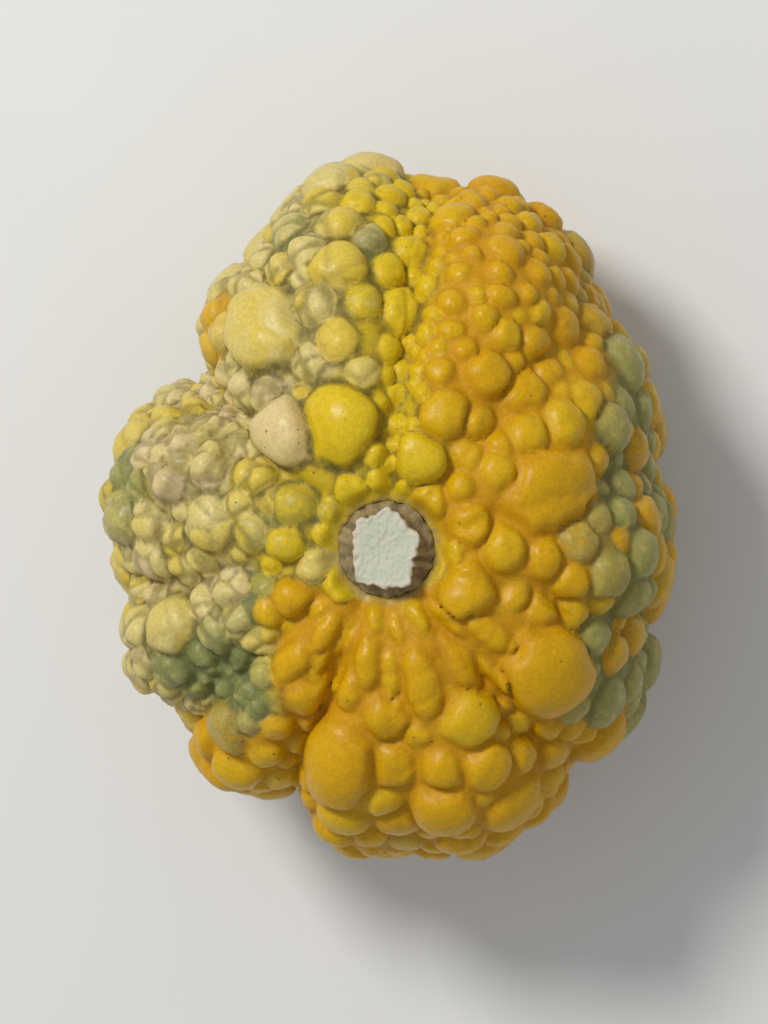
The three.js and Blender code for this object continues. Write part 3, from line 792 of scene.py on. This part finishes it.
def make_fruit(sizes, material):
    """A ball of small triangles, drawn out into the warty fruit."""
    mesh = bmesh.new()
    bmesh.ops.create_icosphere(mesh, subdivisions=5, radius=1.0)
    bmesh.ops.subdivide_edges(mesh, edges=mesh.edges[:], cuts=sizes.grid_cuts, use_grid_fill=True)
    bmesh.ops.triangulate(mesh, faces=[face for face in mesh.faces if len(face.verts) > 3])
    rind, attributes = rind_points(unit(vertices_of(mesh)), sizes, place_warts())
    move_vertices(mesh, rind)
    soften_creases(mesh, attributes["crest"])
    attributes["crease"] = evened(mesh, attributes["crease"])
    finish_piece("gourd_rind", mesh, attributes, material, "gourd_fruit")


def order_faces(mesh):
    """Puts the faces in the order of their first vertices, because a spin leaves their order to chance."""
    mesh.verts.index_update()
    count = len(mesh.verts)

    def place(face):
        first, second, third = sorted(vertex.index for vertex in face.verts)[:3]
        return float((first * count + second) * count + third)

    mesh.faces.sort(key=place)


def spin_profile(profile, steps, detail):
    """Turns a profile of radii and heights round the Z axis into a closed form."""
    mesh = bmesh.new()
    corners = np.array(profile, float)
    travelled = np.concatenate(([0.0], np.linalg.norm(np.diff(corners, axis=0), axis=1).cumsum()))
    marks = np.union1d(travelled, np.arange(0.0, travelled[-1], detail))
    radii, heights = (np.interp(marks, travelled, column) for column in corners.T)
    row = [mesh.verts.new((radius, 0.0, height)) for radius, height in zip(radii, heights)]
    for pair in zip(row, row[1:]):
        mesh.edges.new(pair)
    around = {"axis": (0, 0, 1), "cent": (0, 0, 0), "angle": 2 * math.pi, "steps": steps}
    bmesh.ops.spin(mesh, geom=mesh.verts[:] + mesh.edges[:], use_merge=True, **around)
    bmesh.ops.remove_doubles(mesh, verts=mesh.verts[:], dist=STEM_MESH["merge"])
    bmesh.ops.recalc_face_normals(mesh, faces=mesh.faces[:])
    order_faces(mesh)
    return mesh


def stem_ridges(turn):
    """The ridges at turns round the stem, from their grooves to their tops."""
    broad, swing, swings = STEM_RIDGES["broad"]
    wave = np.cos(broad * turn + swing * np.sin(swings * turn + STEM_RIDGES["start"]))
    fine, swing, swings = STEM_RIDGES["fine"]
    return wave + STEM_RIDGES["fine_share"] * np.cos(fine * turn + swing * np.cos(swings * turn))


def stem_points(points, sizes):
    """Gives the turned stem its five corners, its ridges and its ragged cut, and names its parts."""
    x, y, z = points.T
    radius = reach_of(points)
    share = smoothstep(z, STEM_CORNER["from"], STEM_CORNER["to"])
    corner = sum(bell(points, azimuth, STEM_CORNER["half_width"]) for azimuth in STEM_CORNERS)
    side, edge = (
        smoothstep(z, *heights) * smoothstep(radius, *radii) for heights, radii in (STEM_SIDE, STEM_EDGE)
    )
    heights, radii = STEM_CUT
    cut = smoothstep(z, *heights) * (1.0 - smoothstep(radius, *radii))
    cut = np.clip(cut + (radius < WHOLE_CUT["within"]) * (z > WHOLE_CUT["above"]), 0.0, 1.0)

    turn = np.arctan2(y, x)
    twice = np.cos(RIDGE_DEPTH["turns"] * turn + RIDGE_DEPTH["start"]) ** 2
    depth = RIDGE_DEPTH["least"] + RIDGE_DEPTH["more"] * twice
    fluting = stem_ridges(turn) * sizes.stem_fluting / MM * depth
    ragged = sizes.stem_raggedness / MM
    rough = wander(points * STEM_BENDS["squeeze"], STEM_BENDS["size"], ragged, SEEDS["rough"])
    fibre_reach = ragged * STEM_BENDS["fibre_share"]
    fibre = wander(points, STEM_BENDS["fibre_size"], fibre_reach, SEEDS["fibre"])

    size = 1.0 + STEM_CORNER["depth"] * share * corner
    uneven = side * (STEM_RELIEF["fluting"] * fluting + STEM_RELIEF["rough"] * rough[:, 0])
    size = size + uneven / np.maximum(radius, 1.0)
    height = z + CUT_SLOPE * share * x + edge * rough[:, 1] * STEM_RELIEF["frayed"]
    height = height + cut * fibre[:, 2] + side * fibre[:, 1] * STEM_RELIEF["fibre"]
    wide, long = (1.0 + (width - 1.0) * share for width in STEM_WIDTHS)
    moved = np.column_stack((x * size * wide, y * size * long, height))
    fullest = max(sizes.stem_fluting / MM, GROOVES["least_depth"])
    # Painted shade in the stem's grooves: the deeper a flute, the darker its side is painted.
    groove_shade = side * (GROOVES["middle"] - GROOVES["gain"] * fluting / fullest)
    return moved, {"cut": cut, "edge": edge, "groove_shade": groove_shade}


def make_stem(sizes, material):
    """A turned profile, drawn into the dry, fluted stem with its ragged cut."""
    mesh = spin_profile(STEM_PROFILE, STEM_MESH["steps"], STEM_MESH["detail"])
    points, attributes = stem_points(vertices_of(mesh), sizes)
    move_vertices(mesh, points + (0.0, 0.0, DIP_BOTTOM))
    finish_piece("gourd_stem", mesh, attributes, material, "stem_stub")


# ---------------------------------------------------------------- materials


class Recipe:
    """A procedural material, written as a chain of nodes."""

    DOT_MIDDLE = 0.6
    GRAIN_ROUGHNESS = 0.55

    def __init__(self, name):
        self.material = bpy.data.materials.new(name)
        self.material.use_nodes = True
        self.tree = self.material.node_tree
        self.shader = self.tree.nodes["Principled BSDF"]
        self.place = self.node("ShaderNodeTexCoord").outputs["Object"]

    def node(self, kind, **settings):
        made = self.tree.nodes.new(kind)
        for key, value in settings.items():
            setattr(made, key, value)
        return made

    def feed(self, socket, value):
        if isinstance(value, bpy.types.NodeSocket):
            self.tree.links.new(value, socket)
        elif socket.type == "RGBA" and len(value) == 3:
            socket.default_value = (*value, 1.0)
        else:
            socket.default_value = value

    def attribute(self, name):
        return self.node("ShaderNodeAttribute", attribute_name=name).outputs["Fac"]

    def math(self, operation, one, other, clamp=False):
        made = self.node("ShaderNodeMath", operation=operation, use_clamp=clamp)
        self.feed(made.inputs[0], one)
        self.feed(made.inputs[1], other)
        return made.outputs[0]

    def plus(self, one, other):
        return self.math("ADD", one, other)

    def times(self, one, other):
        return self.math("MULTIPLY", one, other)

    def past(self, value, middle, gain):
        """How far a value is past a middle, times a gain."""
        return self.times(self.math("SUBTRACT", value, middle), gain)

    def mix(self, share, one, other, blend="MIX"):
        made = self.node("ShaderNodeMix", data_type="RGBA", blend_type=blend)
        self.feed(made.inputs["Factor"], share)
        self.feed(made.inputs[6], one)
        self.feed(made.inputs[7], other)
        return made.outputs[2]

    def ramp(self, value, low, high, start=0.0, end=1.0):
        """Leads smoothly from a start to an end as a value goes from low to high."""
        made = self.node("ShaderNodeMapRange", interpolation_type="SMOOTHSTEP")
        for socket, number in zip(made.inputs[:5], (value, low, high, start, end)):
            self.feed(socket, number)
        return made.outputs[0]

    def squeezed(self, scale):
        """The place on the piece, scaled along X, Y and Z."""
        made = self.node("ShaderNodeMapping")
        self.feed(made.inputs["Vector"], self.place)
        made.inputs["Scale"].default_value = scale
        return made.outputs["Vector"]

    def grain(self, size_mm, detail, vector=None):
        """Smooth random values whose features are about a size in millimetres."""
        made = self.node("ShaderNodeTexNoise")
        self.feed(made.inputs["Vector"], vector or self.place)
        made.inputs["Scale"].default_value = 1.0 / (size_mm * MM)
        made.inputs["Detail"].default_value = detail
        made.inputs["Roughness"].default_value = self.GRAIN_ROUGHNESS
        return made.outputs["Fac"]

    def dots(self, size_mm, spread):
        """Small round spots, 1 in their middles, one to each cell of a size in millimetres."""
        made = self.node("ShaderNodeTexVoronoi")
        self.feed(made.inputs["Vector"], self.place)
        made.inputs["Scale"].default_value = 1.0 / (size_mm * MM)
        spot = self.ramp(made.outputs["Distance"], spread * self.DOT_MIDDLE, spread, 1.0, 0.0)
        return spot, made.outputs["Color"]

    def bump(self, height, strength, distance_mm):
        made = self.node("ShaderNodeBump")
        self.feed(made.inputs["Height"], height)
        made.inputs["Strength"].default_value = strength
        made.inputs["Distance"].default_value = distance_mm * MM
        self.feed(self.shader.inputs["Normal"], made.outputs["Normal"])

    def set_sockets(self, values):
        """Sets what is the same all over the surface."""
        for name, value in values.items():
            self.shader.inputs[name].default_value = value


# The rind's finish. Grains are a size in millimetres and a detail. Ramps are a low and a high value,
# and where they don't lead from 0 to 1, a start and an end.
RIND_GRAINS = {
    "cloud": (7.0, 2.0), "mottle": (2.2, 4.0), "fine": (0.7, 3.0), "gloss": (3.0, 3.0), "pores": (0.3, 2.0),
}
RIND_RAMPS = {
    "blush": (0.52, 0.88), "yellowish": (0.45, 0.0, 0.0, 0.7), "lit": (0.35, 1.0),
    "golden": (0.5, 0.9, 0.0, 0.5), "patch": (0.55, 0.85), "bottle_green_and_shade": (0.6, 1.15),
    "flecks": (0.5, 0.72, 0.0, 0.5), "crease": (0.27, 0.82), "lump": (0.2, 0.7, 0.6, 0.0),
    "line": (0.3, 0.6, 0.6, 0.95), "tint": (0.3, 0.7, 0.9, 1.08), "ground": (0.25, 0.65, 0.45, 0.8),
    "collar": (0.35, 0.6, 0.35, 0.8), "scar": (0.2, 0.6, 0.7, 1.0), "cork": (0.35, 0.65),
    "gloss": (0.3, 0.7, 0.3, 0.44),
}
# How much other values shift these: a middle and a gain, or only a share.
TONE_SHIFTS = {"cloud": (0.5, 0.4), "chance": (0.45, 0.2)}
LIT_SHIFT = (0.5, 0.9)
GREEN_SHIFTS = {"patch": 0.55, "crease": 0.4, "bead": 0.35}
SPECKS = {"size": 3.2, "spread": 0.11, "rarity": 0.8, "strength": 0.7}
MATT = {"crease": 0.4, "scar": 0.35}
RIND_BUMP = {"pores": 0.4, "strength": 0.35, "distance": 0.12}
RIND_SOCKETS = {
    "Specular IOR Level": 0.25, "Subsurface Weight": 0.08, "Subsurface Radius": (1.0, 0.6, 0.25),
    "Subsurface Scale": 2.0 * MM,
}


def rind_material(colours):
    """Waxy rind: cream, yellow and orange zones, green patches, painted shade in the creases and at the
    warts' feet, and corky specks.
    """
    m = Recipe("Waxy gourd rind")
    cream, orange, green = (m.attribute(name) for name in ("cream", "orange", "green"))
    crest, crease, bead = (m.attribute(name) for name in ("crest", "crease", "bead"))
    cloud, mottle, fine = (m.grain(*RIND_GRAINS[name]) for name in ("cloud", "mottle", "fine"))
    lump, chance = m.attribute("lump"), m.attribute("chance")

    def ramp(value, name):
        return m.ramp(value, *RIND_RAMPS[name])

    leaning = m.plus(bead, m.past(cloud, *TONE_SHIFTS["cloud"]))
    leaning = m.plus(leaning, m.past(chance, *TONE_SHIFTS["chance"]))
    pale = m.mix(ramp(leaning, "blush"), colours.cream, colours.blush)
    pale = m.mix(ramp(leaning, "yellowish"), pale, colours.yellow)
    # Painted shade on the orange side: each wart is orange at its top and darker ember towards its foot,
    # mixed with a random mottle.
    lit = m.plus(crest, m.past(mottle, *LIT_SHIFT))
    warm = m.mix(ramp(lit, "lit"), colours.ember_and_shade, colours.orange)
    warm = m.mix(ramp(bead, "golden"), warm, colours.yellow)
    colour = m.mix(orange, colours.yellow, warm)
    colour = m.mix(cream, colour, pale)

    patch = m.plus(mottle, m.times(green, GREEN_SHIFTS["patch"]))
    patch = m.times(green, ramp(patch, "patch"))
    # The green darkens to bottle green with the cloud and the wart's tone, and in the creases as painted
    # shade.
    depth = m.plus(cloud, m.times(crease, GREEN_SHIFTS["crease"]))
    depth = m.plus(depth, m.times(bead, GREEN_SHIFTS["bead"]))
    leaf = m.mix(ramp(depth, "bottle_green_and_shade"), colours.olive, colours.bottle_green_and_shade)
    leaf = m.mix(m.times(ramp(mottle, "flecks"), crest), leaf, colours.cream)
    colour = m.mix(patch, colour, leaf)

    # Painted shade: the creases, the feet of the warts and the hollows between the small lumps are painted
    # darker, in the crease, ember or bottle green colour.
    shade = m.mix(orange, colours.crease, colours.ember_and_shade)
    shade = m.mix(patch, shade, colours.bottle_green_and_shade)
    between = m.math("MAXIMUM", ramp(crease, "crease"), ramp(lump, "lump"))
    colour = m.mix(m.times(between, ramp(mottle, "line")), colour, shade)

    tint = ramp(fine, "tint")
    gray = m.node("ShaderNodeCombineColor")
    for socket in gray.inputs:
        m.feed(socket, tint)
    colour = m.mix(1.0, colour, gray.outputs[0], "MULTIPLY")
    speck, speck_colour = m.dots(SPECKS["size"], SPECKS["spread"])
    apart = m.node("ShaderNodeSeparateColor")
    m.feed(apart.inputs[0], speck_colour)
    some = m.math("GREATER_THAN", apart.outputs[0], SPECKS["rarity"])
    colour = m.mix(m.times(m.times(speck, some), SPECKS["strength"]), colour, colours.freckle)

    colour = m.mix(m.times(m.attribute("ground"), ramp(mottle, "ground")), colour, colours.cream)
    # Round the stem's foot the rind is tinted bark brown: partly corky skin, partly painted shade.
    colour = m.mix(m.times(m.attribute("collar"), ramp(mottle, "collar")), colour, colours.bark)
    scar = m.attribute("scar")
    corky = m.mix(ramp(fine, "cork"), colours.freckle, colours.cork)
    colour = m.mix(m.times(scar, ramp(fine, "scar")), colour, corky)
    m.feed(m.shader.inputs["Base Color"], colour)

    gloss = ramp(m.grain(*RIND_GRAINS["gloss"]), "gloss")
    gloss = m.plus(gloss, m.times(crease, MATT["crease"]))
    gloss = m.math("ADD", gloss, m.times(scar, MATT["scar"]), clamp=True)
    m.feed(m.shader.inputs["Roughness"], gloss)
    m.set_sockets(RIND_SOCKETS)
    pores = m.times(m.grain(*RIND_GRAINS["pores"]), RIND_BUMP["pores"])
    m.bump(m.plus(fine, pores), RIND_BUMP["strength"], RIND_BUMP["distance"])
    return m.material


# The stem's finish, in the same way.
STEM_GRAINS = {"streak": (0.8, 4.0), "patch": (2.4, 3.0), "fine": (0.35, 3.0)}
STREAK_SQUEEZE = (1.0, 1.0, 0.25)
STEM_RAMPS = {
    "side": (0.55, 1.05), "cut": (0.45, 0.75, 0.0, 0.5), "flecks": (0.62, 0.72, 0.0, 0.45),
    "frayed": (0.4, 0.6), "roughness": (0.3, 0.7, 0.78, 0.92),
}
STEM_SHARES = {"groove_shade": 0.5, "frayed": 0.75}
STEM_BUMP = {"fine": 0.5, "strength": 0.6, "distance": 0.25}


def stem_material(colours):
    """Dry cork: streaked brown sides and a pale, fibrous cut with a frayed edge."""
    m = Recipe("Dry corky stem")
    cut, edge, groove_shade = (m.attribute(name) for name in ("cut", "edge", "groove_shade"))
    streak = m.grain(*STEM_GRAINS["streak"], m.squeezed(STREAK_SQUEEZE))
    patch, fine = m.grain(*STEM_GRAINS["patch"]), m.grain(*STEM_GRAINS["fine"])

    def ramp(value, name):
        return m.ramp(value, *STEM_RAMPS[name])

    # The sides darken along random streaks and, as painted shade, in the grooves.
    grooved = m.plus(streak, m.times(groove_shade, STEM_SHARES["groove_shade"]))
    side = m.mix(ramp(grooved, "side"), colours.bark, colours.bark_streak_and_shadow)
    face = m.mix(ramp(patch, "cut"), colours.cut, colours.fringe)
    face = m.mix(ramp(fine, "flecks"), face, colours.bark)
    frayed = m.times(edge, ramp(streak, "frayed"))
    colour = m.mix(cut, side, face)
    colour = m.mix(m.times(frayed, STEM_SHARES["frayed"]), colour, colours.fringe)
    m.feed(m.shader.inputs["Base Color"], colour)
    m.feed(m.shader.inputs["Roughness"], ramp(patch, "roughness"))
    height = m.plus(streak, m.times(fine, STEM_BUMP["fine"]))
    m.bump(height, STEM_BUMP["strength"], STEM_BUMP["distance"])
    return m.material


FLOOR = {"mottle": (40.0, 3.0), "darker": 0.96, "roughness": 0.85, "cells": 8, "drop": 0.0001}


def floor_material(studio):
    """A plain pale matt floor with the faintest mottling."""
    m = Recipe("Plain studio floor")
    pale = studio.floor_colour
    slightly_darker = tuple(FLOOR["darker"] * value for value in pale)
    mottle = m.grain(*FLOOR["mottle"])
    m.feed(m.shader.inputs["Base Color"], m.mix(mottle, tuple(pale), slightly_darker))
    m.set_sockets({"Roughness": FLOOR["roughness"]})
    return m.material


# ---------------------------------------------------------------- the stage

KEY_LIGHT = {"place": (-0.45, 0.55, 1.04), "target": (0.0, 0.0, 0.05), "up": (0.0, 0.3, 1.0)}
CAMERA = {"sensor": 36.0, "clip_start": 0.05, "over_middle": 0.01, "up": (0.0, 1.0, 0.0)}


def aim(location, target, up):
    """The place of a camera or light at a location that looks at a target, with a way that is up."""
    back = (Vector(location) - Vector(target)).normalized()
    right = Vector(up).cross(back).normalized()
    turn = Matrix((right, back.cross(right), back)).transposed()
    return Matrix.Translation(location) @ turn.to_4x4()


def add_floor(studio):
    mesh = bmesh.new()
    cells = {"x_segments": FLOOR["cells"], "y_segments": FLOOR["cells"]}
    bmesh.ops.create_grid(mesh, size=studio.floor_width / 2, **cells)
    bmesh.ops.translate(mesh, vec=(0.0, 0.0, -FLOOR["drop"]), verts=mesh.verts[:])
    data = bpy.data.meshes.new("studio_floor")
    mesh.to_mesh(data)
    mesh.free()
    floor = bpy.data.objects.new("studio_floor", data)
    data.materials.append(floor_material(studio))
    bpy.context.scene.collection.objects.link(floor)


def add_light(studio):
    lamp = bpy.data.lights.new("key", "AREA")
    lamp.shape = "DISK"
    lamp.energy, lamp.size = studio.key_power, studio.key_width
    light = bpy.data.objects.new("key", lamp)
    light.matrix_world = aim(KEY_LIGHT["place"], KEY_LIGHT["target"], KEY_LIGHT["up"])
    bpy.context.scene.collection.objects.link(light)


def add_camera(studio):
    lens = bpy.data.cameras.new("camera")
    lens.lens = studio.focal_length
    lens.sensor_fit = "VERTICAL"
    lens.sensor_height = CAMERA["sensor"]
    lens.clip_start = CAMERA["clip_start"]
    camera = bpy.data.objects.new("camera", lens)
    low, high = cad_box
    middle = (low + high) / 2 + Vector((0.0, 0.0, CAMERA["over_middle"]))
    lean = Vector((math.tan(studio.camera_east), math.tan(studio.camera_north), 1.0)).normalized()
    camera.matrix_world = aim(middle + lean * studio.camera_distance, middle, CAMERA["up"])
    bpy.context.scene.collection.objects.link(camera)
    bpy.context.scene.camera = camera


def add_sky(studio):
    world = bpy.data.worlds.new("Even studio sky")
    world.use_nodes = True
    sky = world.node_tree.nodes["Background"]
    sky.inputs["Color"].default_value = (*studio.sky, 1.0)
    sky.inputs["Strength"].default_value = studio.sky_strength
    bpy.context.scene.world = world


# ---------------------------------------------------------------- operators and panel


class GOURD_OT_build_fruit(bpy.types.Operator):
    """Build the warty fruit with its waxy rind"""

    bl_idname = "gourd.build_fruit"
    bl_label = "Build fruit"

    def execute(self, context):
        make_fruit(context.scene.gourd_sizes, rind_material(context.scene.gourd_colours))
        return {"FINISHED"}


class GOURD_OT_build_stem(bpy.types.Operator):
    """Build the dry, cut stem"""

    bl_idname = "gourd.build_stem"
    bl_label = "Build stem"

    def execute(self, context):
        make_stem(context.scene.gourd_sizes, stem_material(context.scene.gourd_colours))
        return {"FINISHED"}


class GOURD_OT_set_stage(bpy.types.Operator):
    """Set up the plain floor, the soft light and the camera"""

    bl_idname = "gourd.set_stage"
    bl_label = "Set stage"

    def execute(self, context):
        studio = context.scene.gourd_studio
        add_floor(studio)
        add_sky(studio)
        add_light(studio)
        add_camera(studio)
        context.scene.view_settings.view_transform = "Standard"
        return {"FINISHED"}


class GOURD_PT_sidebar(bpy.types.Panel):
    """The gourd's pieces, sizes and colours"""

    bl_idname = "GOURD_PT_sidebar"
    bl_label = "Ornamental gourd"
    bl_space_type = "VIEW_3D"
    bl_region_type = "UI"
    bl_category = "Gourd"

    def draw(self, context):
        column = self.layout.column()
        for operator in OPERATORS:
            column.operator(operator.bl_idname)
        for label in GROUPS:
            group = getattr(context.scene, label)
            for name in group.__annotations__:
                column.prop(group, name)


GROUPS = {"gourd_sizes": GourdSizes, "gourd_colours": GourdColours, "gourd_studio": GourdStudio}
OPERATORS = (GOURD_OT_build_fruit, GOURD_OT_build_stem, GOURD_OT_set_stage)


def register():
    for made in (*GROUPS.values(), *OPERATORS, GOURD_PT_sidebar):
        bpy.utils.register_class(made)
    for name, group in GROUPS.items():
        setattr(bpy.types.Scene, name, PointerProperty(type=group))


def unregister():
    for name in GROUPS:
        delattr(bpy.types.Scene, name)
    for made in (GOURD_PT_sidebar, *reversed(OPERATORS), *GROUPS.values()):
        bpy.utils.unregister_class(made)


def main():
    register()
    bpy.ops.gourd.build_fruit()
    bpy.ops.gourd.build_stem()
    bpy.ops.gourd.set_stage()


if __name__ == "__main__":
    main()
